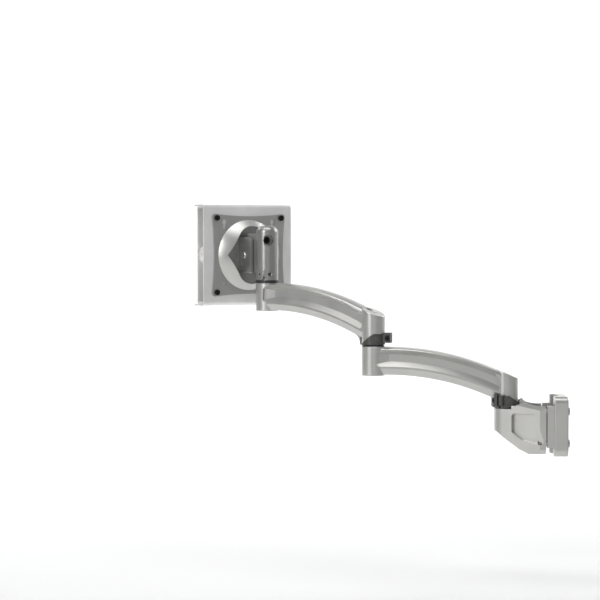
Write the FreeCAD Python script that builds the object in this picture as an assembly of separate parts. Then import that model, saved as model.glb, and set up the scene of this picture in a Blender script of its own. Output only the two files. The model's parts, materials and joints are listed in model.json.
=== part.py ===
import FreeCAD, Part
import math
import os

# Pole-mounted two-link monitor arm: pole clamp, two cast links, swivel and tilt head, quick-release bracket.
# Millimetres, +Z up. The origin is on the pole's axis, at the middle of the clamp body's jaw.
# +X points from the pole to the clamp's rear jaw, so that the arm reaches towards -X.

V = FreeCAD.Vector
up = V(0, 0, 1)

# driving dimensions
pole_r = 24.13                  # 1.9 inch pole
arm_length = 172.0              # swivel axis to swivel axis, both links
clamp_web = 4.07                # metal between the pole and the clamp's swivel boss
tilt_reach = 30.0               # head swivel axis to the tilt axis
stack_height = 42.5             # top of one boss to the top face of the next link's boss, at its axis
link_rise = 37.5                # a link's near boss top to its far boss top
plate_centre_rise = 36.8        # far boss top to the centre of the faceplate
lower_heading = 181.3           # plan direction of the lower link, degrees from +X
upper_heading = 143.6           # plan direction of the upper link
head_heading = 31.6             # plan direction of the faceplate's width

# fits
running_fit = 0.05              # radial, a pin that turns in its hole
free_gap = 0.3                  # between faces of different bodies
slip_gap = 0.2                  # between neighbours that are assembled by hand
clear_gap = 0.5                 # around what swings past

# swivel joints
post_r = 8.0
post_above = 31.0               # post standing out of its boss
post_below = 20.0               # post sunk in its boss
bush_wall = 2.0
boss_wall = 5.2                 # around a bushing
washer_t = 1.0
collar_top = 16.5               # above the boss that the link stands on
skirt_wall = 2.6
lower_skirt_slope = 0.66         # fall of the skirt's slanted edge
lower_skirt_start = 2.7         # boss axis to the edge's upper end
upper_skirt_slope = 0.71
upper_skirt_start = -8.4
lower_collar_wall = 4.2         # lower collar's radius beyond the boss
collar_chamfer = 2.0
collar_gap = 2.4                # split between the lugs
lug_t = 5.0
lug_out = 8.8                   # lugs beyond the boss
lug_low = 5.0
lug_high = 18.0
lower_lug_angle = 238.0         # plan direction at rest
upper_lug_angle = 345.0
disc_t = 1.7                    # friction disc over the post
tension_r = 2.5                 # tension screw
tension_length = 6.0
tension_offset = 6.2
access_r = 4.4                  # opening over the tension screw
post_screw_r = 3.0
post_screw_length = 14.0
post_screw_head_r = 5.2
post_screw_head_t = 3.4
collar_screw_r = 2.0
collar_screw_head_r = 3.6
collar_screw_head_t = 3.6

# link castings
beam_drop = 26.21               # fall of the arched top, far end to near end
beam_near = 20.14               # near boss axis to the arch's end
beam_depth = 36.0
beam_half = 13.0                # half width at the rims
beam_crown = 3.2                # rise of the rounded top
beam_shoulder = 4.0             # width of the rounded top edge
beam_flat = 17.0                # level stretch at the far boss
pocket_over = 8.0               # degrees that the pocket sweeps past the arch, before it is cut back
beam_run_in = 26.0              # straight stretch into the near boss
lower_band = 8.1                # height of the tapered lower band
lower_band_in = 4.2             # how far it tapers in
rim = 2.5                       # rim between pocket and lower band
pocket_drop = 5.6               # top of the link to the pocket's upper edge
pocket_depth = 4.6
pocket_wall_top = 3.9
pocket_wall_low = 6.6
pocket_end_low = 9.0            # near boss axis to the pocket's lower end
pocket_end_high = 14.5          # near boss axis to the pocket's upper end
pocket_round = 4.0              # corner radius of the pocket's ends
pocket_ramp = 16.0              # length of the pocket's sloped far end
ramp_gap = 3.7                  # far boss axis to the end of the ramp
ramp_end_depth = 2.2            # ramp's floor inside the beam's flank, at its end
far_boss_h = 37.4
gusset_r = 9.0
edge_round = 1.0

# pole clamp
jaw_wall = 3.4                  # outside a bolt
jaw_low = -29.5
jaw_mid = 31.0                  # top at the split
jaw_peak = 40.6                 # top beside the collar
split_x = 4.0
shoulder_x = -4.0               # where the flanks start to narrow
clamp_boss_top = 27.2
clamp_boss_low = -1.6
clamp_boss_wall = 0.6           # clamp boss beyond the swivel boss
rear_rib_x = 5.6
rear_wall = 8.57                # behind the pole
rear_plate_t = 18.0
rear_plate_high = 44.0
rear_plate_low = -33.0
rear_rib_high = 32.0
rear_rib_low = -21.0
rib_inset = 1.2
bolt_r = 3.0
bolt_wall = 1.47                # between the pole and a bolt
bolt_mid = 4.5
bolt_half = 20.5
bolt_thread = 10.0
bolt_head_r = 5.0
bolt_head_t = 1.8
scoop_depth = 2.6
scoop_high = 22.0               # upper edge of the sunk panel
scoop_low = -19.0               # lower corner, beside the split
scoop_mid = -12.5
scoop_left = -2.0
scoop_inset = 1.5               # rim between the panel and the split
scoop_round = 4.0
top_fall = 0.45                 # fall of the jaw's top towards each side
top_ridge = 4.0                 # half width of the level ridge on top
low_bevel = 7.0                 # bevel along the jaw's lower edges

# head
knuckle_step = 0.5              # knuckle's radius inside the boss's
knuckle_h = 76.0                # above the thrust ring
thrust_ring_t = 3.5
neck_half = 13.6
barrel_r = 13.5
barrel_room = 4.5               # tilt barrel to the faceplate's front face
flap_back = 6.0
flap_top = 29.0
flap_step = 8.5                 # height of the flap's slanted upper part
flap_slot = 1.6
crown_round = 1.6               # rounding of the neck's top
tilt_pin_r = 5.0
tilt_limit = 20.0               # degrees that the head tilts each way
tilt_screw_rise = 20.0          # tilt screw above the tilt axis
tilt_screw_r = 3.0
tilt_screw_head_r = 5.0
tilt_screw_head_t = 6.0
tilt_access_r = 7.2
tilt_screw_side = -6.3          # tilt screw beside the swivel axis
tilt_access_depth = 5.0
tilt_seat_depth = 12.0
friction_washer_t = 0.6
cheek_t = 4.0
cheek_front = 17.0              # cheeks reach this far in front of the tilt axis
cheek_half = 24.0
cheek_round = 5.0
panel_depth = 1.2               # sunk panels on the cheeks' outer faces
panel_rim = 2.2
dome_r = 47.6
dome_h = 20.0
dome_corner = 38.0
dome_lobe_r = 24.0
dome_lobe_rise = 15.0
yoke_base_r = 40.0
yoke_base_t = 4.0
spigot_r = 12.0
spigot_end = 6.5                # beyond the faceplate's front face
knuckle_round = 9.0             # rounding of the knuckle's top
knuckle_slot = 1.0
knuckle_slot_h = 13.0
knuckle_slot_turn = -47.6       # split, from the side that faces away from the monitor
mouth_half = 3.3                # half width of the split's flared foot
mouth_h = 7.0
knuckle_screw_rise = 8.0
knuckle_screw_r = 1.25
knuckle_screw_head_r = 2.1
knuckle_screw_head_t = 2.4
knuckle_screw_half = 7.0

# faceplate, bracket and monitor plate
face_w = 114.0
face_h = 112.0
face_t = 3.0
face_waist = 3.6                # how far the sides curve in
face_corner_r = 4.0
wide_pitch = 100.0
face_hole_r = 2.7               # clearance hole for a faceplate screw
narrow_pitch = 75.0
plate_hole_r = 2.25
keyhole_r = 2.5
keyhole_head_r = 4.0
keyhole_step = 7.0              # wide head above the narrow end
bracket_side = 11.25            # bracket beyond the faceplate, at each side
bracket_over = 12.0             # the same above and below
bracket_depth = 26.0
sheet_t = 2.5
bend_r = 4.5
bracket_window_r = 26.0
monitor_plate_inset = 4.25      # monitor plate's end inside the bracket's
monitor_flange = 17.0
monitor_window_r = 24.0
ear_half = 14.0
ear_inset = 9.0                 # bracket's end to its ear
thumb_r = 10.5
thumb_t = 5.0
stud_r = 3.0
stud_length = 16.0
washer_r = 21.0
retainer_t = 2.0
wave_t = 1.2
pivot_bolt_r = 4.0
pivot_head_r = 8.0
pivot_head_t = 4.0
face_screw_r = 2.0
face_screw_head_r = 3.8
face_screw_head_t = 2.4
nut_r = 4.2
nut_t = 2.6

# worked-out sizes and places
bush_r = post_r + bush_wall
boss_r = bush_r + boss_wall
lower_collar_r = boss_r + lower_collar_wall
upper_collar_r = boss_r
lug_reach = boss_r + lug_out
clamp_boss_r = boss_r + clamp_boss_wall
clamp_reach = pole_r + clamp_boss_r + clamp_web     # pole axis to the clamp's swivel axis
bolt_y = pole_r + bolt_r + bolt_wall
jaw_half = bolt_y + bolt_r + jaw_wall
rear_plate_x = pole_r + rear_wall - rear_plate_t
knuckle_r = boss_r - knuckle_step
plate_reach = tilt_reach + barrel_r + barrel_room   # head swivel axis to the faceplate's front face
bracket_w = face_w + 2 * bracket_side
bracket_h = face_h + 2 * bracket_over
monitor_plate_w = bracket_w - 2 * monitor_plate_inset
clamp_axis = V(-clamp_reach, 0, 0)


def step_along(start, heading, distance):
    a = math.radians(heading)
    return V(start.x + distance * math.cos(a), start.y + distance * math.sin(a), 0)


elbow_axis = step_along(clamp_axis, lower_heading, arm_length)
head_axis = step_along(elbow_axis, upper_heading, arm_length)
level_1 = clamp_boss_top                        # foot of the lower link
level_2 = level_1 + stack_height + link_rise    # foot of the upper link
level_3 = level_2 + stack_height + link_rise    # foot of the head
plate_z = level_3 + plate_centre_rise
far_top = level_2 - level_1
bore_top = post_above + free_gap + disc_t


# helpers
def cyl(r, z0, z1, x=0.0, y=0.0):
    return Part.makeCylinder(r, z1 - z0, V(x, y, z0))


def ring(outer, inner, z0, z1):
    return cyl(outer, z0, z1).cut(cyl(inner, z0 - 1, z1 + 1))


def rod(r, start, end):
    span = end.sub(start)
    return Part.makeCylinder(r, span.Length, start, span)


def block(x0, x1, y0, y1, z0, z1):
    return Part.makeBox(x1 - x0, y1 - y0, z1 - z0, V(x0, y0, z0))


def prism(points, along):
    corners = [V(*p) for p in points]
    return Part.Face(Part.makePolygon(corners + corners[:1])).extrude(V(*along))


def placed(shape, place, heading, height):
    moved = shape.copy()
    moved.rotate(V(0, 0, 0), up, heading)
    moved.translate(V(place.x, place.y, height))
    return moved


def hex_cut(r, start, end):
    span = end.sub(start)
    corners = []
    for k in range(7):
        a = math.radians(60 * k)
        corners.append(V(r * math.cos(a), r * math.sin(a), 0))
    tool = Part.Face(Part.makePolygon(corners)).extrude(V(0, 0, span.Length))
    tool.Placement = FreeCAD.Placement(start, FreeCAD.Rotation(up, span))
    return tool


def socket_screw(head_start, end, shank_r, head_r, head_t, socket_r):
    # Cap screw: the head starts at head_start, and the shank runs to end.
    unit = end.sub(head_start).normalize()
    seat = head_start.add(unit * head_t)
    head = rod(head_r, head_start, seat)
    head = head.makeChamfer(min(0.4, head_t / 5), [head.Edges[0]])
    screw = head.fuse(rod(shank_r, seat, end)).removeSplitter()
    return screw.cut(hex_cut(socket_r, head_start.sub(unit), head_start.add(unit * head_t * 0.6)))


def save(name, shape):
    solids = shape.Solids
    shape = solids[0] if len(solids) == 1 else Part.makeCompound(solids)
    print(name, len(solids), shape.isValid(), round(shape.Volume, 1))
    shape.exportStep("parts/" + name + ".step")


# swivel joint pieces
def post():
    # Steel post: sunk in one boss, and the next piece turns on it.
    pin = cyl(post_r, -post_below, post_above)
    pin = pin.makeChamfer(0.8, [pin.Edges[0], pin.Edges[2]])
    return pin.cut(cyl(post_screw_r, -post_below - 1, -post_below + post_screw_length - 4))


def post_screw():
    # Screw that holds a post from under its boss.
    low = -post_below - 4.0 - post_screw_head_t
    top = -post_below + post_screw_length - 4
    return socket_screw(V(0, 0, low), V(0, 0, top), post_screw_r, post_screw_head_r, post_screw_head_t, 2.3)


def post_hole(depth_under):
    # Room for a post and its screw in a boss, down to depth_under below the boss top.
    hole = cyl(post_r, -post_below, 1)
    hole = hole.fuse(cyl(post_screw_r, -post_below - 4.5, -post_below + 1))
    return hole.fuse(cyl(post_screw_head_r + slip_gap, -depth_under - 1, -post_below - 4.0))


def thrust_washer():
    return ring(boss_r - 0.6, post_r + running_fit, 0, washer_t)


def bushing():
    return ring(bush_r, post_r + running_fit, collar_top + slip_gap, post_above)


def friction_disc():
    return cyl(post_r - slip_gap, post_above + free_gap, bore_top)


def tension_screw():
    screw = cyl(tension_r, bore_top, bore_top + tension_length, tension_offset)
    top = bore_top + tension_length
    return screw.cut(hex_cut(1.6, V(tension_offset, 0, top - 3), V(tension_offset, 0, top + 1)))


def skirt_region(side, slope, start, lift):
    # Half space above a slanted plane that drops towards side: +1 is the beam's side, -1 the other.
    far = 40.0
    low_z = collar_top - slope * (far - start)
    points = [(side * start, -30, collar_top - lift), (side * far, -30, low_z - lift),
              (side * far, -30, 60), (side * start, -30, 60)]
    return prism(points, (0, 60, 0))


def collar(outer, side, slope, start, lug_heading):
    # Split clamp ring under a boss, with two lugs and a tangent screw across them.
    low = washer_t + free_gap
    body = cyl(outer, low, collar_top)
    body = body.makeChamfer(collar_chamfer, [body.Edges[2]])
    lugs = block(outer - 3, lug_reach, -lug_t - collar_gap / 2, lug_t + collar_gap / 2, lug_low, collar_top)
    lip = block(boss_r + slip_gap, lug_reach, -lug_t - collar_gap / 2, lug_t + collar_gap / 2,
                lug_low, lug_high)
    lugs = lugs.fuse(lip).removeSplitter()
    tips = [e for e in lugs.Edges if abs(e.BoundBox.XMin - lug_reach) < 1e-6
            and abs(e.BoundBox.YLength) < 1e-6 and e.BoundBox.ZLength > 2]
    lugs = lugs.makeFillet(1.6, tips)
    lugs.rotate(V(0, 0, 0), up, lug_heading)
    body = body.fuse(lugs).removeSplitter()
    split = block(0, lug_reach + 1, -collar_gap / 2, collar_gap / 2, low - 1, lug_high + 1)
    split.rotate(V(0, 0, 0), up, lug_heading)
    body = body.cut(split).cut(cyl(post_r + running_fit, low - 1, collar_top + 1))
    skirt_room = ring(60, boss_r - skirt_wall - slip_gap, low - 1, collar_top + 1)
    skirt_room = skirt_room.common(skirt_region(side, slope, start, slip_gap))
    body = body.cut(skirt_room)
    return body.cut(collar_screw_line(lug_heading))


def collar_screw_line(lug_heading):
    # Hole and head recess for the tangent screw, about the swivel axis.
    at = (boss_r + lug_reach) / 2 + 0.6
    half = lug_t + collar_gap / 2
    mid = (lug_low + lug_high) / 2 - 0.4
    line = rod(collar_screw_r, V(at, -half - 1, mid), V(at, half - 1.0, mid))
    head = rod(collar_screw_head_r + slip_gap, V(at, -half - 8, mid), V(at, -half + 1.6, mid))
    line = line.fuse(head)
    line.rotate(V(0, 0, 0), up, lug_heading)
    return line


def collar_screw(lug_heading):
    at = (boss_r + lug_reach) / 2 + 0.6
    half = lug_t + collar_gap / 2
    mid = (lug_low + lug_high) / 2 - 0.4
    start = V(at, -half + 1.6 - collar_screw_head_t, mid)
    screw = socket_screw(start, V(at, half - 1.0, mid), collar_screw_r, collar_screw_head_r,
                         collar_screw_head_t, 1.7)
    screw.rotate(V(0, 0, 0), up, lug_heading)
    return screw


# link casting
arch_x = arm_length - beam_flat
beam_top_radius = ((arch_x - beam_near) ** 2 + beam_drop ** 2) / (2 * beam_drop)
beam_arch = math.degrees(math.asin((arch_x - beam_near) / beam_top_radius))
arch_z = far_top - beam_top_radius
ramp_slope = pocket_ramp / (pocket_depth - ramp_end_depth)   # run of the ramp for each unit that it climbs


def radial_point(radius, degrees, y):
    a = math.radians(degrees)
    return V(arch_x - radius * math.sin(a), y, arch_z + radius * math.cos(a))


def beam_section():
    # Closed outline of the beam at the top of the arch: rounded top, straight rims, tapered lower band.
    top = far_top
    low = far_top - beam_depth
    x = arch_x
    half = beam_half
    shoulder_z = top - beam_crown - beam_shoulder
    left_top = V(x, -half, shoulder_z)
    right_top = V(x, half, shoulder_z)
    left_soft = V(x, -half + beam_shoulder, top - beam_crown * 0.45)
    right_soft = V(x, half - beam_shoulder, top - beam_crown * 0.45)
    turn = beam_shoulder * 0.3
    left_mid = V(x, -half + turn, top - beam_crown * 0.45 - turn)
    right_mid = V(x, half - turn, top - beam_crown * 0.45 - turn)
    left_band = V(x, -half, low + lower_band)
    right_band = V(x, half, low + lower_band)
    left_low = V(x, -half + lower_band_in, low)
    right_low = V(x, half - lower_band_in, low)
    edges = [
        Part.LineSegment(left_band, left_top).toShape(),
        Part.Arc(left_top, left_mid, left_soft).toShape(),
        Part.Arc(left_soft, V(x, 0, top), right_soft).toShape(),
        Part.Arc(right_soft, right_mid, right_top).toShape(),
        Part.LineSegment(right_top, right_band).toShape(),
        Part.LineSegment(right_band, right_low).toShape(),
        Part.LineSegment(right_low, left_low).toShape(),
        Part.LineSegment(left_low, left_band).toShape(),
    ]
    return Part.Face(Part.Wire(edges))


def arched(face, degrees):
    # Carry a face round the arch from its top, towards the near boss.
    return face.revolve(V(arch_x, 0, arch_z), V(0, -1, 0), degrees)


def pocket_section(side):
    # Tapered pocket outline on one flank, at the top of the arch.
    outer = side * (boss_r + 4)
    mouth = side * beam_half
    floor = side * (beam_half - pocket_depth)
    high = far_top - pocket_drop
    low = far_top - beam_depth + lower_band + rim
    points = [(arch_x, outer, high), (arch_x, mouth, high), (arch_x, floor, high - pocket_wall_top),
              (arch_x, floor, low + pocket_wall_low), (arch_x, mouth, low), (arch_x, outer, low)]
    corners = [V(*p) for p in points]
    return Part.Face(Part.makePolygon(corners + corners[:1]))


def pocket(side):
    # Long pocket on one flank: it follows the arch, ramps out at the far boss and ends round at the near one.
    face = pocket_section(side)
    floor = side * (beam_half - pocket_depth)
    outer = side * (boss_r + 4)
    ramp_end = arm_length - ramp_gap
    ramp_start = ramp_end - pocket_ramp
    high = far_top - pocket_drop
    low = far_top - beam_depth + lower_band + rim
    straight = face.extrude(V(ramp_end - arch_x, 0, 0))
    wedge = prism([(ramp_start, floor, low - 1), (ramp_end, side * (beam_half - ramp_end_depth), low - 1),
                   (ramp_end, outer, low - 1), (arch_x - 30, outer, low - 1), (arch_x - 30, floor, low - 1)],
                  (0, 0, high - low + 2))
    frame = block(arch_x - 60, ramp_end, -40, 40, low, high)
    corners = [e for e in frame.Edges if e.BoundBox.YLength > 1 and e.BoundBox.XMin > ramp_end - 1]
    frame = frame.makeFillet(pocket_round, corners)
    straight = straight.common(wedge).common(frame)
    hollow = arched(face, beam_arch + pocket_over).common(pocket_near_end())
    # the part of the curved pocket that the ramp's floor already fills
    fill = prism([(ramp_start, floor, low - 4), (arch_x + 1, floor, low - 4),
                  (arch_x + 1, floor + side * (arch_x + 1 - ramp_start) / ramp_slope, low - 4)],
                 (0, 0, high - low + 8))
    return hollow.fuse(straight).cut(fill)


def pocket_near_end():
    # Everything beyond the pocket's rounded, slanted end at the near boss.
    centres = []
    for radius, place in ((beam_top_radius - beam_depth + lower_band + rim + pocket_round, pocket_end_low),
                          (beam_top_radius - pocket_drop - pocket_round, pocket_end_high)):
        angle = math.degrees(math.asin((arch_x - place - pocket_round) / radius))
        centres.append((radial_point(radius, angle, -40), angle))
    (low, low_angle), (high, high_angle) = centres
    lean = high.sub(low).normalize()
    away = V(-lean.z, 0, lean.x) * pocket_round
    inward = radial_point(beam_top_radius / 2, low_angle, -40)
    outward = radial_point(beam_top_radius * 1.4, high_angle, -40)
    corners = [inward, low, low.add(away), high.add(away), high, outward,
               V(arm_length + 200, -40, outward.z), V(arm_length + 200, -40, inward.z)]
    body = Part.Face(Part.makePolygon(corners + corners[:1])).extrude(V(0, 80, 0))
    for centre in (low, high):
        body = body.fuse(rod(pocket_round, centre, centre.add(V(0, 80, 0))))
    return body


def collar_room(outer, side, slope, start, lug_heading):
    # Room under the beam for the collar and its lugs; the skirt's side stays solid.
    room = cyl(outer + slip_gap, -40, collar_top + slip_gap)
    room = room.cut(ring(60, boss_r - skirt_wall, -41, 60).common(skirt_region(side, slope, start, 0)))
    half = lug_t + collar_gap / 2 + slip_gap
    lugs = block(0, lug_reach + slip_gap, -half, half, -40, lug_high + slip_gap)
    lugs.rotate(V(0, 0, 0), up, lug_heading)
    return room.fuse(lugs)


def link(outer, side, slope, start, lug_heading, with_gusset):
    # One link: near boss on the swivel axis at the origin, far boss at arm_length along +X.
    face = beam_section()
    beam = arched(face, beam_arch)
    flat = face.extrude(V(beam_flat, 0, 0))
    tip = face.copy()
    tip.rotate(V(arch_x, 0, arch_z), V(0, -1, 0), beam_arch)
    slant = math.radians(beam_arch)
    run = V(-math.cos(slant), 0, -math.sin(slant))
    run_in = tip.extrude(run * beam_run_in)
    beam = beam.fuse([flat, run_in])
    near = cyl(boss_r, collar_top + slip_gap, far_top)
    crest = radial_point(beam_top_radius, beam_arch, 0)
    over = [(crest.x + 40, -40, crest.z + 40 * math.tan(slant) - 0.6),
            (crest.x - 80, -40, crest.z - 80 * math.tan(slant) - 0.6),
            (crest.x - 80, -40, crest.z + 120), (crest.x + 40, -40, crest.z + 120)]
    near = near.cut(prism(over, (0, 80, 0)))
    rims = [e for e in near.Edges if e.BoundBox.ZMin > 35 and e.BoundBox.XLength > 10]
    near = near.makeFillet(edge_round, rims)
    far = cyl(boss_r, far_top - far_boss_h, far_top, arm_length)
    far = far.makeChamfer(0.7, [far.Edges[0], far.Edges[2]])
    body = beam.cut(collar_room(outer, side, slope, start, lug_heading)).fuse([near, far])
    skirt = ring(boss_r, boss_r - skirt_wall, washer_t + free_gap, collar_top + slip_gap)
    skirt = skirt.common(skirt_region(side, slope, start, 0))
    body = body.fuse(skirt)
    if with_gusset:
        body = body.fuse(gusset())
    body = body.removeSplitter()
    body = body.cut(pocket(1)).cut(pocket(-1))
    body = body.cut(cyl(bush_r, collar_top - 1, post_above))
    body = body.cut(cyl(post_r - slip_gap, post_above - 1, bore_top))
    body = body.cut(cyl(tension_r, bore_top - 1, bore_top + tension_length + 1, tension_offset))
    body = body.cut(cyl(access_r, bore_top + tension_length, far_top, tension_offset))
    hole = post_hole(far_boss_h)
    hole.translate(V(arm_length, 0, far_top))
    return body.cut(hole)


def gusset():
    # Web under the beam that runs down the near boss in a hollow curve.
    half = beam_half - lower_band_in
    slant = math.radians(beam_arch)
    under = radial_point(beam_top_radius - beam_depth, beam_arch, 0)
    foot = V(boss_r - 1.0, -half, washer_t + free_gap + 1.0)
    heel = V(boss_r - 0.2, -half, foot.z)
    out_x = boss_r + gusset_r
    out_z = under.z - (under.x - out_x) * math.tan(slant)
    outer = V(out_x, -half, out_z)
    mid = V(boss_r + gusset_r * 0.2, -half, out_z - gusset_r * 0.62)
    top = V(boss_r - 1.0, -half, out_z + 6)
    top_out = V(out_x, -half, out_z + 6)
    edges = [Part.LineSegment(foot, heel).toShape(), Part.Arc(heel, mid, outer).toShape(),
             Part.LineSegment(outer, top_out).toShape(), Part.LineSegment(top_out, top).toShape(),
             Part.LineSegment(top, foot).toShape()]
    return Part.Face(Part.Wire(edges)).extrude(V(0, 2 * half, 0))


# pole clamp
def clamp_outline(grow):
    # Plan of the clamp body: round boss, flanks that open out, parallel jaws.
    half = jaw_half + grow
    span = V(shoulder_x + clamp_reach, half, 0)
    reach = span.Length
    turn = math.atan2(half, shoulder_x + clamp_reach) + math.acos((clamp_boss_r + grow) / reach)
    touch_x = -clamp_reach + (clamp_boss_r + grow) * math.cos(turn)
    touch_y = (clamp_boss_r + grow) * math.sin(turn)
    nose = V(-clamp_reach - clamp_boss_r - grow, 0, 0)
    edges = [
        Part.Arc(V(touch_x, -touch_y, 0), nose, V(touch_x, touch_y, 0)).toShape(),
        Part.LineSegment(V(touch_x, touch_y, 0), V(shoulder_x, half, 0)).toShape(),
        Part.LineSegment(V(shoulder_x, half, 0), V(split_x, half, 0)).toShape(),
        Part.LineSegment(V(split_x, half, 0), V(split_x, -half, 0)).toShape(),
        Part.LineSegment(V(split_x, -half, 0), V(shoulder_x, -half, 0)).toShape(),
        Part.LineSegment(V(shoulder_x, -half, 0), V(touch_x, -touch_y, 0)).toShape(),
    ]
    return Part.Face(Part.Wire(edges))


def clamp_body():
    body = clamp_outline(0).extrude(V(0, 0, 90))
    body.translate(V(0, 0, -45))
    nose_x = -clamp_reach - clamp_boss_r
    knee_x = nose_x + 2.0
    side = [(nose_x - 5, -60, clamp_boss_low), (knee_x, -60, clamp_boss_low), (nose_x + 11, -60, -9.5),
            (-30.0, -60, -23.5), (-18.0, -60, jaw_low), (split_x + 5, -60, jaw_low),
            (split_x + 5, -60, jaw_mid - 1.4), (-24.0, -60, jaw_peak), (-60.0, -60, jaw_peak),
            (nose_x - 5, -60, jaw_peak)]
    body = body.common(prism(side, (0, 120, 0)))
    # the jaw's top falls away to each side, and its lower edges are bevelled
    far = jaw_half + 25
    for flank in (-1, 1):
        top = [(-80, flank * top_ridge, jaw_peak), (-80, flank * far, jaw_peak - (far - top_ridge) * top_fall),
               (-80, flank * far, 80), (-80, flank * top_ridge, 80)]
        body = body.cut(prism(top, (120, 0, 0)))
        low = [(-80, flank * (jaw_half - low_bevel), jaw_low - 1),
               (-80, flank * (jaw_half + 2 * low_bevel), jaw_low - 1 + 3 * low_bevel),
               (-80, flank * (jaw_half + 2 * low_bevel), jaw_low - 1)]
        body = body.cut(prism(low, (120, 0, 0)))
    body = body.cut(cyl(lower_collar_r + clear_gap, clamp_boss_top, 80, -clamp_reach))
    body = body.cut(block(-90, -clamp_reach, -40, 40, clamp_boss_top, 80))
    # room for the collar's lugs on their way round
    sweep = cyl(lug_reach + clear_gap, clamp_boss_top + lug_low - clear_gap, 80, -clamp_reach)
    body = body.cut(sweep.common(block(-90, 0, -60, -lug_reach / 2, 0, 90)))
    for flank in (-1, 1):
        body = body.cut(flank_scoop(flank))
    body = body.cut(cyl(pole_r, -60, 80))
    body = body.cut(block(0, 20, -pole_r, pole_r, -60, 80))
    hole = post_hole(clamp_boss_top - clamp_boss_low + 14)
    hole.translate(V(-clamp_reach, 0, clamp_boss_top))
    body = body.cut(hole)
    for y, z in bolt_places():
        body = body.cut(rod(bolt_r, V(split_x - bolt_thread, y, z), V(split_x + 1, y, z)))
    return body


def flank_scoop(flank):
    # Shallow panel sunk in one flank of the clamp body.
    start = V(-clamp_reach + 6.5, flank * (clamp_boss_r + 0.4), 0)
    end = V(split_x - scoop_inset, flank * (jaw_half + 1.2), 0)
    along = end.sub(start)
    length = along.Length
    rise = [(0.0, scoop_high), (length * 0.72, scoop_high), (length, scoop_low),
            (length * 0.32, scoop_mid), (0.0, scoop_left)]
    heading = math.degrees(math.atan2(along.y, along.x))
    tool = prism([(u, -flank * scoop_depth, z) for u, z in rise], (0, flank * 30, 0))
    tool = tool.makeFillet(scoop_round, [e for e in tool.Edges if e.BoundBox.YLength > 20])
    tool.rotate(V(0, 0, 0), up, heading)
    tool.translate(start)
    return tool


def bolt_places():
    return [(y, bolt_mid + z) for y in (-bolt_y, bolt_y) for z in (-bolt_half, bolt_half)]


def clamp_rear_jaw():
    # Rear jaw: a tall plate with a seat for the pole and two ribs that face the clamp body.
    end_x = rear_plate_x + rear_plate_t
    plate = block(rear_plate_x, end_x, -jaw_half, jaw_half, rear_plate_low, rear_plate_high)
    long_edges = [e for e in plate.Edges if e.BoundBox.XLength > 1]
    plate = plate.makeFillet(9.0, long_edges)
    face_edges = [e for e in plate.Edges if e.BoundBox.XLength < 1e-6]
    plate = plate.makeFillet(1.6, face_edges)
    inner = pole_r + 0.6
    jaw = plate
    for flank in (-1, 1):
        y0 = min(flank * inner, flank * (jaw_half - rib_inset))
        y1 = max(flank * inner, flank * (jaw_half - rib_inset))
        jaw = jaw.fuse(block(rear_rib_x, rear_plate_x + 3, y0, y1, rear_rib_low, rear_rib_high))
    jaw = jaw.removeSplitter().cut(cyl(pole_r, -60, 80))
    for y, z in bolt_places():
        jaw = jaw.cut(rod(bolt_r + slip_gap, V(rear_rib_x - 1, y, z), V(end_x + 1, y, z)))
    return jaw


def clamp_bolts():
    end_x = rear_plate_x + rear_plate_t
    bolts = []
    for y, z in bolt_places():
        start = V(end_x + bolt_head_t, y, z)
        bolts.append(socket_screw(start, V(split_x - bolt_thread + 1.0, y, z), bolt_r, bolt_head_r,
                                  bolt_head_t, 2.9))
    return Part.makeCompound(bolts)


# head, in its own frame
# x runs along the faceplate's width, y from the swivel axis towards the monitor, z is the real height
def thrust_ring():
    body = ring(boss_r, post_r + running_fit, level_3, level_3 + thrust_ring_t)
    return body.makeChamfer(0.6, [body.Edges[0]])


def flap_limit(height):
    # How far behind the tilt axis the neck may reach at this height, and still clear the tilted yoke.
    lean = math.radians(tilt_limit)
    front = tilt_back_y - yoke_base_t - tilt_reach
    return front / math.cos(lean) - height * math.tan(lean) - clear_gap


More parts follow.
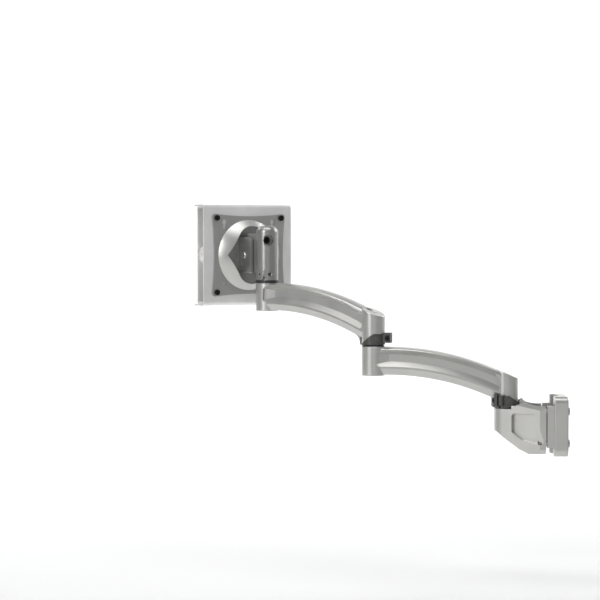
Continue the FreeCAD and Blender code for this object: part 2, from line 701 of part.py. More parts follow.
def knuckle():
    foot = level_3 + thrust_ring_t + free_gap
    top = level_3 + knuckle_h
    stem = cyl(knuckle_r, foot, top)
    stem = stem.makeFillet(knuckle_round, [e for e in stem.Edges if e.BoundBox.ZMin > top - 1])
    neck_low = plate_z - barrel_r - 5.5
    back = tilt_reach + min(flap_back, flap_limit(flap_top - flap_step))
    back_high = tilt_reach + min(flap_back, flap_limit(flap_top))
    flap_z = plate_z + flap_top
    neck = prism([(-neck_half, 0, neck_low - 9), (-neck_half, tilt_reach - 6, neck_low + 5),
                  (-neck_half, tilt_reach, plate_z - barrel_r), (-neck_half, tilt_reach, plate_z),
                  (-neck_half, back, plate_z), (-neck_half, back, flap_z - flap_step),
                  (-neck_half, back_high, flap_z), (-neck_half, 10, flap_z),
                  (-neck_half, 0, flap_z - 2)], (2 * neck_half, 0, 0))
    crown = [e for e in neck.Edges if e.BoundBox.ZMin > flap_z - 3 and e.BoundBox.XLength < 1e-6]
    neck = neck.makeFillet(crown_round, crown)
    barrel = rod(barrel_r, V(-neck_half, tilt_reach, plate_z), V(neck_half, tilt_reach, plate_z))
    body = stem.fuse([neck, barrel]).removeSplitter()
    body = body.cut(rod(tilt_pin_r + running_fit, V(-20, tilt_reach, plate_z), V(20, tilt_reach, plate_z)))
    body = body.cut(block(-20, 20, tilt_reach - flap_slot / 2, tilt_reach + flap_slot / 2, plate_z,
                          flap_z + 5))
    body = body.cut(cyl(bush_r, foot - 1, level_3 + post_above + 2))
    body = body.cut(knuckle_split(foot))
    screw_z = plate_z + tilt_screw_rise
    x = tilt_screw_side
    body = body.cut(rod(tilt_access_r, V(x, -30, screw_z), V(x, -knuckle_r + tilt_access_depth, screw_z)))
    seat = rod(tilt_screw_head_r + slip_gap, V(x, -30, screw_z), V(x, -knuckle_r + tilt_seat_depth, screw_z))
    body = body.cut(seat)
    body = body.cut(rod(tilt_screw_r, V(x, -30, screw_z), V(x, tilt_reach + flap_back - 1, screw_z)))
    return body.cut(knuckle_screw_line())


def knuckle_split(foot):
    # Split at the knuckle's foot, flared at the bottom.
    slot = block(-knuckle_slot / 2, knuckle_slot / 2, -knuckle_r - 1, 0, foot - 1, foot + knuckle_slot_h)
    mouth = [(-mouth_half, -30, foot - 1), (mouth_half, -30, foot - 1), (0, -30, foot + mouth_h)]
    slot = slot.fuse(prism(mouth, (0, 30 - bush_r - 1.0, 0)))
    slot.rotate(V(0, 0, 0), up, knuckle_slot_turn)
    return slot


def knuckle_screw_line():
    # Hole and head recess for the screw across the split.
    z = level_3 + thrust_ring_t + knuckle_screw_rise
    y = -(bush_r + knuckle_r) / 2 - 0.2
    half = knuckle_screw_half
    line = rod(knuckle_screw_r, V(-half, y, z), V(half + 0.5, y, z))
    line = line.fuse(rod(knuckle_screw_head_r, V(half - 1.5, y, z), V(20, y, z)))
    line.rotate(V(0, 0, 0), up, knuckle_slot_turn)
    return line


def knuckle_screw():
    # Small screw across the knuckle's split, which sets how stiffly the head swivels.
    z = level_3 + thrust_ring_t + knuckle_screw_rise
    y = -(bush_r + knuckle_r) / 2 - 0.2
    half = knuckle_screw_half
    screw = socket_screw(V(half - 1.5 + knuckle_screw_head_t, y, z), V(-half, y, z), knuckle_screw_r,
                         knuckle_screw_head_r, knuckle_screw_head_t, knuckle_screw_r * 0.8)
    screw.rotate(V(0, 0, 0), up, knuckle_slot_turn)
    return screw


def knuckle_bushing():
    foot = level_3 + thrust_ring_t + free_gap
    return ring(bush_r, post_r + running_fit, foot, level_3 + post_above)


def tilt_screw():
    z = plate_z + tilt_screw_rise
    start = V(tilt_screw_side, -knuckle_r + tilt_seat_depth - tilt_screw_head_t, z)
    end = V(tilt_screw_side, tilt_reach + flap_back - 1, z)
    return socket_screw(start, end, tilt_screw_r, tilt_screw_head_r, tilt_screw_head_t, 2.9)


def diamond(half_w, lobe_r, rise, y0, y1):
    # Rounded diamond, pointed at its two sides, about the faceplate's centre.
    reach = math.hypot(half_w, rise)
    lean = math.atan2(rise, half_w) + math.asin(lobe_r / reach)
    tx = half_w - math.sqrt(reach ** 2 - lobe_r ** 2) * math.cos(lean)
    tz = math.sqrt(reach ** 2 - lobe_r ** 2) * math.sin(lean)
    apex = rise + lobe_r
    edges = [
        Part.LineSegment(V(-half_w, y0, 0), V(-tx, y0, tz)).toShape(),
        Part.Arc(V(-tx, y0, tz), V(0, y0, apex), V(tx, y0, tz)).toShape(),
        Part.LineSegment(V(tx, y0, tz), V(half_w, y0, 0)).toShape(),
        Part.LineSegment(V(half_w, y0, 0), V(tx, y0, -tz)).toShape(),
        Part.Arc(V(tx, y0, -tz), V(0, y0, -apex), V(-tx, y0, -tz)).toShape(),
        Part.LineSegment(V(-tx, y0, -tz), V(-half_w, y0, 0)).toShape(),
    ]
    body = Part.Face(Part.Wire(edges)).extrude(V(0, y1 - y0, 0))
    body.translate(V(0, 0, plate_z))
    return body


face_y = plate_reach                        # front of the faceplate
tilt_back_y = plate_reach - free_gap        # back of everything that tilts in front of it


def head_dome():
    # Domed ring with a deep opening shaped like a rounded diamond.
    ball_r = (dome_r ** 2 + dome_h ** 2) / (2 * dome_h)
    ball = Part.makeSphere(ball_r, V(0, tilt_back_y - dome_h + ball_r, plate_z))
    slab = rod(dome_r, V(0, tilt_back_y - 40, plate_z), V(0, tilt_back_y, plate_z))
    cap = ball.common(slab)
    cap = cap.cut(diamond(dome_corner, dome_lobe_r, dome_lobe_rise, tilt_back_y - 50, tilt_back_y + 5))
    base_room = rod(yoke_base_r + slip_gap, V(0, tilt_back_y - yoke_base_t - slip_gap, plate_z),
                    V(0, tilt_back_y + 1, plate_z))
    return cap.cut(base_room)


def cheek(flank, inner, base_y):
    # Side wall of the yoke, rounded at the front, with two sunk panels and a rib between them.
    x0 = min(flank * inner, flank * (inner + cheek_t))
    front = tilt_reach - cheek_front
    wall = block(x0, x0 + cheek_t, front, base_y, plate_z - cheek_half, plate_z + cheek_half)
    tips = [e for e in wall.Edges if e.BoundBox.XLength > 1 and e.BoundBox.YMax < front + 1]
    wall = wall.makeFillet(cheek_round, tips)
    outer = flank * (inner + cheek_t)
    for side in (-1, 1):
        z0 = min(side * (panel_rim + tilt_pin_r), side * (cheek_half - panel_rim))
        z1 = max(side * (panel_rim + tilt_pin_r), side * (cheek_half - panel_rim))
        panel = block(outer - panel_depth, outer + panel_depth, front + panel_rim, base_y + 1,
                      plate_z + z0, plate_z + z1)
        wall = wall.cut(panel)
    return wall


def tilt_yoke():
    # Base disc behind the dome, with two cheeks for the tilt pin and a spigot for the faceplate.
    base = rod(yoke_base_r, V(0, tilt_back_y - yoke_base_t, plate_z), V(0, tilt_back_y, plate_z))
    spigot = rod(spigot_r, V(0, tilt_back_y - 1, plate_z), V(0, face_y + spigot_end, plate_z))
    body = base.fuse(spigot)
    inner = neck_half + friction_washer_t + running_fit * 2
    base_y = tilt_back_y - yoke_base_t + 1
    for flank in (-1, 1):
        body = body.fuse(cheek(flank, inner, base_y))
    body = body.removeSplitter()
    body = body.cut(rod(tilt_pin_r, V(-30, tilt_reach, plate_z), V(30, tilt_reach, plate_z)))
    sweep = rod(barrel_r + clear_gap, V(-inner, tilt_reach, plate_z), V(inner, tilt_reach, plate_z))
    body = body.cut(sweep)
    return body.cut(rod(pivot_bolt_r, V(0, face_y - 2, plate_z), V(0, face_y + 20, plate_z)))


def tilt_pin():
    half = neck_half + friction_washer_t + running_fit * 2 + cheek_t
    pin = rod(tilt_pin_r, V(-half - 1.5, tilt_reach, plate_z), V(half + 1.5, tilt_reach, plate_z))
    return pin.makeChamfer(0.7, [pin.Edges[0], pin.Edges[2]])


def tilt_washers():
    rings = []
    for flank in (-1, 1):
        near = flank * (neck_half + running_fit)
        far = flank * (neck_half + running_fit + friction_washer_t)
        disc = rod(barrel_r - 2.5, V(near, tilt_reach, plate_z), V(far, tilt_reach, plate_z))
        rings.append(disc.cut(rod(tilt_pin_r, V(-40, tilt_reach, plate_z), V(40, tilt_reach, plate_z))))
    return Part.makeCompound(rings)


def pivot_stack():
    # Wave washer, retainer and bolt that hold the faceplate on the yoke's spigot.
    end_y = face_y + spigot_end
    axis_hole = rod(spigot_r, V(0, face_y - 5, plate_z), V(0, face_y + 40, plate_z))
    wave = rod(washer_r - 1, V(0, end_y - wave_t, plate_z), V(0, end_y, plate_z)).cut(axis_hole)
    plate = rod(washer_r, V(0, end_y, plate_z), V(0, end_y + retainer_t, plate_z))
    plate = plate.cut(rod(pivot_bolt_r, V(0, end_y - 1, plate_z), V(0, end_y + 5, plate_z)))
    start = V(0, end_y + retainer_t + pivot_head_t, plate_z)
    bolt = socket_screw(start, V(0, face_y - 1.5, plate_z), pivot_bolt_r, pivot_head_r, pivot_head_t, 3.4)
    return wave, plate, bolt


def corner_places(pitch):
    half = pitch / 2
    return [(x, plate_z + z) for x in (-half, half) for z in (-half, half)]


def faceplate():
    # Square plate with hollow sides, a pivot hole, wide holes and keyhole slots.
    w = face_w / 2
    h = face_h / 2
    corners = [V(-w, face_y, -h), V(w, face_y, -h), V(w, face_y, h), V(-w, face_y, h)]
    waists = [V(0, face_y, -h + face_waist), V(w - face_waist, face_y, 0), V(0, face_y, h - face_waist),
              V(-w + face_waist, face_y, 0)]
    edges = [Part.Arc(corners[k], waists[k], corners[(k + 1) % 4]).toShape() for k in range(4)]
    plate = Part.Face(Part.Wire(edges)).extrude(V(0, face_t, 0))
    uprights = [e for e in plate.Edges if e.BoundBox.YLength > 1 and e.BoundBox.XLength < 1e-6]
    plate = plate.makeFillet(face_corner_r, uprights)
    plate.translate(V(0, 0, plate_z))
    plate = plate.cut(rod(spigot_r + running_fit, V(0, face_y - 1, plate_z), V(0, face_y + 9, plate_z)))
    for x, z in corner_places(wide_pitch):
        plate = plate.cut(rod(face_hole_r, V(x, face_y - 1, z), V(x, face_y + 9, z)))
    for x, z in corner_places(narrow_pitch):
        if z > plate_z:
            plate = plate.cut(keyhole(x, z))
        else:
            plate = plate.cut(rod(keyhole_r, V(x, face_y - 1, z), V(x, face_y + 9, z)))
    return plate


def keyhole(x, z):
    # Upright slot: its narrow end is on the pattern's corner, and its wide head is above.
    head = rod(keyhole_head_r, V(x, face_y - 1, z + keyhole_step), V(x, face_y + 9, z + keyhole_step))
    tail = rod(keyhole_r, V(x, face_y - 1, z), V(x, face_y + 9, z))
    neck = block(x - keyhole_r, x + keyhole_r, face_y - 1, face_y + 9, z, z + keyhole_step)
    return head.fuse([tail, neck])


def friction_ring():
    # Thin plastic ring between the faceplate's back and the wave washer.
    end_y = face_y + spigot_end - wave_t - free_gap
    body = rod(washer_r, V(0, face_y + face_t, plate_z), V(0, end_y, plate_z))
    return body.cut(rod(spigot_r + running_fit, V(0, face_y, plate_z), V(0, end_y + 1, plate_z)))


bracket_y = plate_reach + face_t            # front of the bracket's sheet
thumb_y = bracket_y + 13.0                  # thumbscrew behind the bracket's front
ear_x = -bracket_w / 2 + ear_inset          # outer face of the bracket's ear


def channel(width, height, y0, y1, wall, radius, open_front):
    # Bent channel along x. Its web is at y0, or at y1 when open_front is true.
    half = height / 2
    y_web = y1 if open_front else y0
    body = block(-width / 2, width / 2, y0, y1, plate_z - half, plate_z + half)
    outer = [e for e in body.Edges if e.BoundBox.XLength > 1 and abs(e.BoundBox.YMin - y_web) < 1e-6]
    body = body.makeFillet(radius, outer)
    shift = -wall if open_front else wall
    room = block(-width / 2 - 1, width / 2 + 1, y0 + shift, y1 + shift, plate_z - half + wall,
                 plate_z + half - wall)
    inner = [e for e in room.Edges if e.BoundBox.XLength > 1 and abs(e.BoundBox.YMin - y_web - shift) < 1e-6]
    room = room.makeFillet(radius - wall, inner)
    return body.cut(room)


def bracket_channel():
    # Quick-release bracket: a channel that reaches back to the monitor, with an ear for the thumbscrew.
    body = channel(bracket_w, bracket_h, bracket_y, bracket_y + bracket_depth, sheet_t, bend_r, False)
    ear = block(ear_x, ear_x + sheet_t, bracket_y + sheet_t - 1, bracket_y + bracket_depth - sheet_t - 2,
                plate_z - ear_half, plate_z + ear_half)
    tips = [e for e in ear.Edges if e.BoundBox.XLength > 1 and e.BoundBox.YMin > bracket_y + 10]
    body = body.fuse(ear.makeFillet(6.0, tips)).removeSplitter()
    body = body.cut(rod(bracket_window_r, V(0, bracket_y - 1, plate_z), V(0, bracket_y + 5, plate_z)))
    for x, z in corner_places(wide_pitch):
        body = body.cut(rod(nut_r, V(x, bracket_y - 1, z), V(x, bracket_y + 5, z)))
    return body.cut(rod(stud_r + running_fit, V(-100, thumb_y, plate_z), V(-45, thumb_y, plate_z)))



def faceplate_screws():
    screws = []
    for x, z in corner_places(wide_pitch):
        start = V(x, face_y - face_screw_head_t, z)
        screws.append(socket_screw(start, V(x, bracket_y + nut_t, z), face_screw_r, face_screw_head_r,
                                   face_screw_head_t, 1.4))
    return Part.makeCompound(screws)


def bracket_nuts():
    # Clinch nuts pressed in the bracket's sheet.
    nuts = []
    for x, z in corner_places(wide_pitch):
        nut = rod(nut_r, V(x, bracket_y, z), V(x, bracket_y + nut_t, z))
        nuts.append(nut.cut(rod(face_screw_r, V(x, bracket_y - 1, z), V(x, bracket_y + 9, z))))
    return Part.makeCompound(nuts)


def monitor_plate():
    # Plate screwed to the monitor: it nests in the bracket, with an ear behind the bracket's ear.
    back_y = bracket_y + bracket_depth
    height = bracket_h - 2 * sheet_t - 2 * slip_gap
    body = channel(monitor_plate_w, height, back_y - monitor_flange, back_y, sheet_t, bend_r - sheet_t + 0.6,
                   True)
    near_x = ear_x + sheet_t + slip_gap
    ear = block(near_x, near_x + sheet_t, bracket_y + sheet_t + 2, back_y - 0.5, plate_z - ear_half + 1,
                plate_z + ear_half - 1)
    tips = [e for e in ear.Edges if e.BoundBox.XLength > 1 and e.BoundBox.YMin < bracket_y + 10]
    body = body.fuse(ear.makeFillet(6.0, tips)).removeSplitter()
    body = body.cut(rod(monitor_window_r, V(0, back_y - 9, plate_z), V(0, back_y + 1, plate_z)))
    for pitch in (wide_pitch, narrow_pitch):
        for x, z in corner_places(pitch):
            body = body.cut(rod(plate_hole_r, V(x, back_y - 9, z), V(x, back_y + 1, z)))
    return body.cut(rod(stud_r + free_gap, V(-100, thumb_y, plate_z), V(-45, thumb_y, plate_z)))


def thumbscrew():
    # Fluted knob on a threaded stud, at the bracket's side.
    face_x = ear_x - free_gap
    knob = rod(thumb_r, V(face_x, thumb_y, plate_z), V(face_x - thumb_t, thumb_y, plate_z))
    knob = knob.makeChamfer(1.0, [knob.Edges[0], knob.Edges[2]])
    for k in range(12):
        a = math.radians(30 * k)
        y = thumb_y + (thumb_r + 0.9) * math.cos(a)
        z = plate_z + (thumb_r + 0.9) * math.sin(a)
        knob = knob.cut(rod(1.6, V(face_x + 1, y, z), V(face_x - thumb_t - 1, y, z)))
    knob = knob.cut(rod(4.2, V(face_x - thumb_t - 1, thumb_y, plate_z), V(face_x - thumb_t + 1.2, thumb_y,
                                                                        plate_z)))
    stud = rod(stud_r, V(face_x - 1, thumb_y, plate_z), V(face_x + stud_length, thumb_y, plate_z))
    return knob.fuse(stud).removeSplitter()


# build and save
def build():
    os.makedirs("parts", exist_ok=True)
    save("clamp_body", clamp_body())
    save("clamp_rear_jaw", clamp_rear_jaw())
    save("clamp_bolts", clamp_bolts())
    joints = [
        ("clamp", "lower", clamp_axis, lower_heading, level_1, lower_lug_angle, lower_collar_r,
         -1, lower_skirt_slope, lower_skirt_start),
        ("elbow", "upper", elbow_axis, upper_heading, level_2, upper_lug_angle, upper_collar_r,
         1, upper_skirt_slope, upper_skirt_start),
    ]
    under = 0.0
    for below, above, axis, heading, level, lug, outer, side, slope, start in joints:
        local_lug = lug - heading
        save(below + "_post", placed(post(), axis, under, level))
        save(below + "_post_screw", placed(post_screw(), axis, under, level))
        save(below + "_thrust_washer", placed(thrust_washer(), axis, under, level))
        arm = link(outer, side, slope, start, local_lug, side > 0)
        save(above + "_arm", placed(arm, axis, heading, level))
        save(above + "_bushing", placed(bushing(), axis, heading, level))
        save(above + "_collar", placed(collar(outer, side, slope, start, local_lug), axis, heading, level))
        save(above + "_collar_screw", placed(collar_screw(local_lug), axis, heading, level))
        save(above + "_friction_disc", placed(friction_disc(), axis, heading, level))
        save(above + "_tension_screw", placed(tension_screw(), axis, heading, level))
    save("head_post", placed(post(), head_axis, 0, level_3))
    save("head_post_screw", placed(post_screw(), head_axis, 0, level_3))
    wave, retainer, bolt = pivot_stack()
    head_parts = [
        ("head_thrust_ring", thrust_ring()),
        ("head_knuckle", knuckle()),
        ("head_bushing", knuckle_bushing()),
        ("head_swivel_screw", knuckle_screw()),
        ("tilt_screw", tilt_screw()),
        ("tilt_yoke", tilt_yoke()),
        ("tilt_pin", tilt_pin()),
        ("tilt_washers", tilt_washers()),
        ("head_dome", head_dome()),
        ("pivot_wave_washer", wave),
        ("pivot_retainer", retainer),
        ("pivot_bolt", bolt),
        ("faceplate", faceplate()),
        ("friction_ring", friction_ring()),
        ("faceplate_screws", faceplate_screws()),
        ("bracket_channel", bracket_channel()),
        ("bracket_nuts", bracket_nuts()),
        ("monitor_plate", monitor_plate()),
        ("thumbscrew", thumbscrew()),
    ]
    for name, shape in head_parts:
        save(name, placed(shape, head_axis, head_heading, 0))


build()
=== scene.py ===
import json
import math
import bpy
import bmesh
import numpy as np
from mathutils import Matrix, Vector


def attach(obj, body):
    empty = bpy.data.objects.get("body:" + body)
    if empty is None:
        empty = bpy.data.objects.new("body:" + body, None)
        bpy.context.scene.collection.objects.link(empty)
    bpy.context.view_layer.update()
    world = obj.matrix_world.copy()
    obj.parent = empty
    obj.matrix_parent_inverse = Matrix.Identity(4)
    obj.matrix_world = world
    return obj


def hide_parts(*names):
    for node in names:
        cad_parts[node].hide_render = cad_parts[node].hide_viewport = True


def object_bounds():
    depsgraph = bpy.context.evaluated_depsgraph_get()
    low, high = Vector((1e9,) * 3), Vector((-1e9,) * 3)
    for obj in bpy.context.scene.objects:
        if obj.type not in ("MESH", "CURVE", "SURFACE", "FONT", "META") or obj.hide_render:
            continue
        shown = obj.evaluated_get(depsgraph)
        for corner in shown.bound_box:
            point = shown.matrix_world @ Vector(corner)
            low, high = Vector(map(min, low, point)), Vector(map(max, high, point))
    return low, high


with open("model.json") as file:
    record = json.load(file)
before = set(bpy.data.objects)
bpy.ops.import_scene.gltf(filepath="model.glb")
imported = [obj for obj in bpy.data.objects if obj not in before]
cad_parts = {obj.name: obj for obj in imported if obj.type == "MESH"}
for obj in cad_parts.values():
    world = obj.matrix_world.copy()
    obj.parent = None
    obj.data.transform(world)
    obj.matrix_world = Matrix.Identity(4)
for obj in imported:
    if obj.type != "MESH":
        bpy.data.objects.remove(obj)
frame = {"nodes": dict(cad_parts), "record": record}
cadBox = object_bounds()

nodes = frame["nodes"]
record = frame["record"]


def newMaterial(name, color, metallic, roughness, coat=0.0, coatRoughness=0.3):
    # A principled material with its constants set on the sockets.
    mat = bpy.data.materials.new(name)
    mat.use_nodes = True
    tree = mat.node_tree
    shader = tree.nodes["Principled BSDF"]
    shader.inputs["Base Color"].default_value = (*color, 1)
    shader.inputs["Metallic"].default_value = metallic
    shader.inputs["Roughness"].default_value = roughness
    shader.inputs["Coat Weight"].default_value = coat
    shader.inputs["Coat Roughness"].default_value = coatRoughness
    return mat, tree, shader


def objectPattern(tree, scale=(1, 1, 1)):
    # Object coordinates through a mapping, so that a pattern stays on its piece.
    coords = tree.nodes.new("ShaderNodeTexCoord")
    mapping = tree.nodes.new("ShaderNodeMapping")
    mapping.vector_type = "TEXTURE"
    mapping.inputs["Scale"].default_value = tuple(1 / s for s in scale)
    tree.links.new(coords.outputs["Object"], mapping.inputs["Vector"])
    return mapping.outputs["Vector"]


def addNoise(tree, vector, scale, detail, rough=0.55):
    noise = tree.nodes.new("ShaderNodeTexNoise")
    noise.inputs["Scale"].default_value = scale
    noise.inputs["Detail"].default_value = detail
    noise.inputs["Roughness"].default_value = rough
    tree.links.new(vector, noise.inputs["Vector"])
    return noise.outputs["Fac"]


noiseSpan = (0.3, 0.7)      # where most of a noise's values lie


def addRange(tree, value, low, high):
    node = tree.nodes.new("ShaderNodeMapRange")
    node.inputs["From Min"].default_value = noiseSpan[0]
    node.inputs["From Max"].default_value = noiseSpan[1]
    node.inputs["To Min"].default_value = low
    node.inputs["To Max"].default_value = high
    tree.links.new(value, node.inputs["Value"])
    return node.outputs["Result"]


def addRamp(tree, value, stops):
    ramp = tree.nodes.new("ShaderNodeValToRGB")
    while len(ramp.color_ramp.elements) < len(stops):
        ramp.color_ramp.elements.new(0.5)
    for element, (place, color) in zip(ramp.color_ramp.elements, stops):
        element.position = place
        element.color = (*color, 1)
    tree.links.new(value, ramp.inputs["Fac"])
    return ramp.outputs["Color"]


def addBump(tree, height, strength, distance, before=None):
    bump = tree.nodes.new("ShaderNodeBump")
    bump.inputs["Strength"].default_value = strength
    bump.inputs["Distance"].default_value = distance
    tree.links.new(height, bump.inputs["Height"])
    if before is not None:
        tree.links.new(before, bump.inputs["Normal"])
    return bump.outputs["Normal"]


def tint(color, factor):
    return tuple(min(1.0, c * factor) for c in color)


paintLook = {"flake": 2600.0, "orange": 420.0, "cloud": 26.0, "flakeShare": 0.55, "coat": 0.12,
             "coatRoughness": 0.35, "smoother": 0.05, "rougher": 0.07, "skinBump": (0.10, 0.0002),
             "flakeBump": (0.05, 0.00006)}


def castPaint(name, color, metallic, roughness, grain=0.10):
    # Satin metallic paint on a casting: fine flakes, slow clouds of tone, and a faint orange-peel skin.
    look = paintLook
    mat, tree, shader = newMaterial(name, color, metallic, roughness, look["coat"], look["coatRoughness"])
    vector = objectPattern(tree)
    cloud = addNoise(tree, vector, look["cloud"], 4.0)
    flake = addNoise(tree, vector, look["flake"], 1.0)
    blend = tree.nodes.new("ShaderNodeMath")
    blend.operation = "MULTIPLY_ADD"
    blend.inputs[1].default_value = look["flakeShare"]
    tree.links.new(flake, blend.inputs[0])
    slow = tree.nodes.new("ShaderNodeMath")
    slow.operation = "MULTIPLY"
    slow.inputs[1].default_value = 1 - look["flakeShare"]
    tree.links.new(cloud, slow.inputs[0])
    tree.links.new(slow.outputs[0], blend.inputs[2])
    stops = [(noiseSpan[0], tint(color, 1 - grain)), (noiseSpan[1], tint(color, 1 + grain))]
    tree.links.new(addRamp(tree, blend.outputs[0], stops), shader.inputs["Base Color"])
    gloss = addRange(tree, cloud, roughness - look["smoother"], roughness + look["rougher"])
    tree.links.new(gloss, shader.inputs["Roughness"])
    skin = addBump(tree, addNoise(tree, vector, look["orange"], 2.0), *look["skinBump"])
    tree.links.new(addBump(tree, flake, *look["flakeBump"], skin), shader.inputs["Normal"])
    return mat


steelLook = {"across": 30, "along": 2600, "dark": 0.86, "bright": 1.1, "smoother": 0.06, "rougher": 0.08,
             "bump": (0.12, 0.00008)}


def turnedSteel(name, color, roughness):
    # Bare steel with fine tool lines that run round an upright piece.
    look = steelLook
    mat, tree, shader = newMaterial(name, color, 1.0, roughness)
    vector = objectPattern(tree, scale=(look["across"], look["across"], look["along"]))
    lines = addNoise(tree, vector, 1.0, 2.0)
    stops = [(noiseSpan[0], tint(color, look["dark"])), (noiseSpan[1], tint(color, look["bright"]))]
    tree.links.new(addRamp(tree, lines, stops), shader.inputs["Base Color"])
    gloss = addRange(tree, lines, roughness - look["smoother"], roughness + look["rougher"])
    tree.links.new(gloss, shader.inputs["Roughness"])
    tree.links.new(addBump(tree, lines, *look["bump"]), shader.inputs["Normal"])
    return mat


darkLook = {"grain": 900.0, "wear": 120.0, "wearRough": 0.65, "dull": (0.35, 0.8), "even": (0.62, 1.0),
            "worn": (0.78, 1.7), "smoother": 0.07, "rougher": 0.09, "bump": (0.16, 0.0001)}


def darkMetal(name, color, roughness, metallic):
    # Charcoal or black-oxide finish: a dull grain with slightly worn, lighter specks.
    look = darkLook
    mat, tree, shader = newMaterial(name, color, metallic, roughness)
    vector = objectPattern(tree)
    grain = addNoise(tree, vector, look["grain"], 3.0)
    wear = addNoise(tree, vector, look["wear"], 4.0, look["wearRough"])
    stops = [(look[key][0], tint(color, look[key][1])) for key in ("dull", "even", "worn")]
    tree.links.new(addRamp(tree, wear, stops), shader.inputs["Base Color"])
    gloss = addRange(tree, grain, roughness - look["smoother"], roughness + look["rougher"])
    tree.links.new(gloss, shader.inputs["Roughness"])
    tree.links.new(addBump(tree, grain, *look["bump"]), shader.inputs["Normal"])
    return mat


plasticLook = {"pebble": 1500.0, "tone": 60.0, "dark": 0.85, "bright": 1.2, "smoother": 0.05, "rougher": 0.06,
               "bump": (0.2, 0.00006)}


def bearingPlastic(name, color, roughness):
    # Moulded bearing plastic: a faint pebble and slow tone.
    look = plasticLook
    mat, tree, shader = newMaterial(name, color, 0.0, roughness)
    vector = objectPattern(tree)
    pebble = addNoise(tree, vector, look["pebble"], 2.0)
    tone = addNoise(tree, vector, look["tone"], 2.0)
    stops = [(noiseSpan[0], tint(color, look["dark"])), (noiseSpan[1], tint(color, look["bright"]))]
    tree.links.new(addRamp(tree, tone, stops), shader.inputs["Base Color"])
    gloss = addRange(tree, pebble, roughness - look["smoother"], roughness + look["rougher"])
    tree.links.new(gloss, shader.inputs["Roughness"])
    tree.links.new(addBump(tree, pebble, *look["bump"]), shader.inputs["Normal"])
    return mat


finishes = {
    "silver_paint": castPaint("satinSilverCasting", (0.56, 0.556, 0.535), metallic=0.86, roughness=0.34),
    "head_metal": castPaint("darkHeadCasting", (0.36, 0.36, 0.35), metallic=0.85, roughness=0.32, grain=0.05),
    "faceplate_grey": castPaint("greyFaceplate", (0.40, 0.40, 0.39), metallic=0.6, roughness=0.38),
    "bracket_silver": castPaint("lightBracketSheet", (0.86, 0.86, 0.85), metallic=0.5, roughness=0.33),
    "charcoal_metal": darkMetal("charcoalCollar", (0.10, 0.10, 0.097), 0.36, metallic=0.45),
    "charcoal_plastic": bearingPlastic("blackNylonRing", (0.025, 0.025, 0.025), 0.45),
    "bearing_plastic": bearingPlastic("acetalBearing", (0.10, 0.10, 0.10), 0.42),
    "post_steel": turnedSteel("turnedPostSteel", (0.56, 0.56, 0.55), 0.28),
    "screw_steel": turnedSteel("zincPlatedScrew", (0.42, 0.41, 0.39), 0.3),
    "black_screw": darkMetal("blackOxideScrew", (0.015, 0.015, 0.015), 0.34, metallic=0.5),
    "knob_white": castPaint("paleKnob", (0.74, 0.72, 0.70), metallic=0.4, roughness=0.3),
}
slotOf = {s["node"]: s["material_slot"] for s in record["subparts"]}
for nodeName, obj in nodes.items():
    obj.data.materials.clear()
    obj.data.materials.append(finishes[slotOf[nodeName]])
print("materials set on", len(nodes), "frame nodes")


def surfaceMesh(name, grid):
    # A mesh from a grid of points (rows along the profile, columns around the axis), faces outwards.
    rows, cols = grid.shape[:2]
    index = np.arange(rows * cols).reshape(rows, cols)
    ahead = np.roll(index, -1, axis=1)
    quads = np.stack([index[:-1], ahead[:-1], ahead[1:], index[1:]], axis=-1)
    mesh = bpy.data.meshes.new(name)
    mesh.from_pydata(grid.reshape(-1, 3).tolist(), [], quads.reshape(-1, 4).tolist())
    work = bmesh.new()
    work.from_mesh(mesh)
    bmesh.ops.remove_doubles(work, verts=work.verts, dist=1e-7)     # the poles become single points
    bmesh.ops.recalc_face_normals(work, faces=work.faces)
    work.to_mesh(mesh)
    work.free()
    mesh.shade_smooth()
    piece = bpy.data.objects.new(name, mesh)
    bpy.context.scene.collection.objects.link(piece)
    return piece


def axisFrame(jointName):
    # Origin and three directions for a joint: its axis, and two across it.
    joint = next(j for j in record["behaviour"]["joints"] if j["name"] == jointName)
    origin = np.array(joint["pos_m"])
    along = np.array(joint["axis"]) / np.linalg.norm(joint["axis"])
    upward = np.array((0.0, 0.0, 1.0))
    return origin, along, np.cross(upward, along), upward


def turnedGrid(jointName, along, radius, angle):
    # Points at a distance along the axis and a radius from it, for arrays of the same shape.
    origin, axis, side, upward = axisFrame(jointName)
    return (origin + along[..., None] * axis + (radius * np.cos(angle))[..., None] * side
            + (radius * np.sin(angle))[..., None] * upward)


knobLook = {"inner": -0.00045, "outer": 0.00455, "radius": 0.0101, "flutes": 14, "fluteDepth": 0.0010,
            "round": 0.0011, "dishRadius": 0.0048, "dishDepth": 0.0014, "studRadius": 0.00286,
            "studEnd": -0.0164, "pitch": 0.0010, "threadDepth": 0.00028, "around": 168,
            "shankRows": 110, "rimRows": 7, "tip": 0.0006, "shoulder": 0.0001, "backFlat": 0.0004,
            "dishEdge": 0.0002, "dishFloor": 0.0006, "threadIn": 12, "backFlute": 0.25, "rimFlute": 0.35}


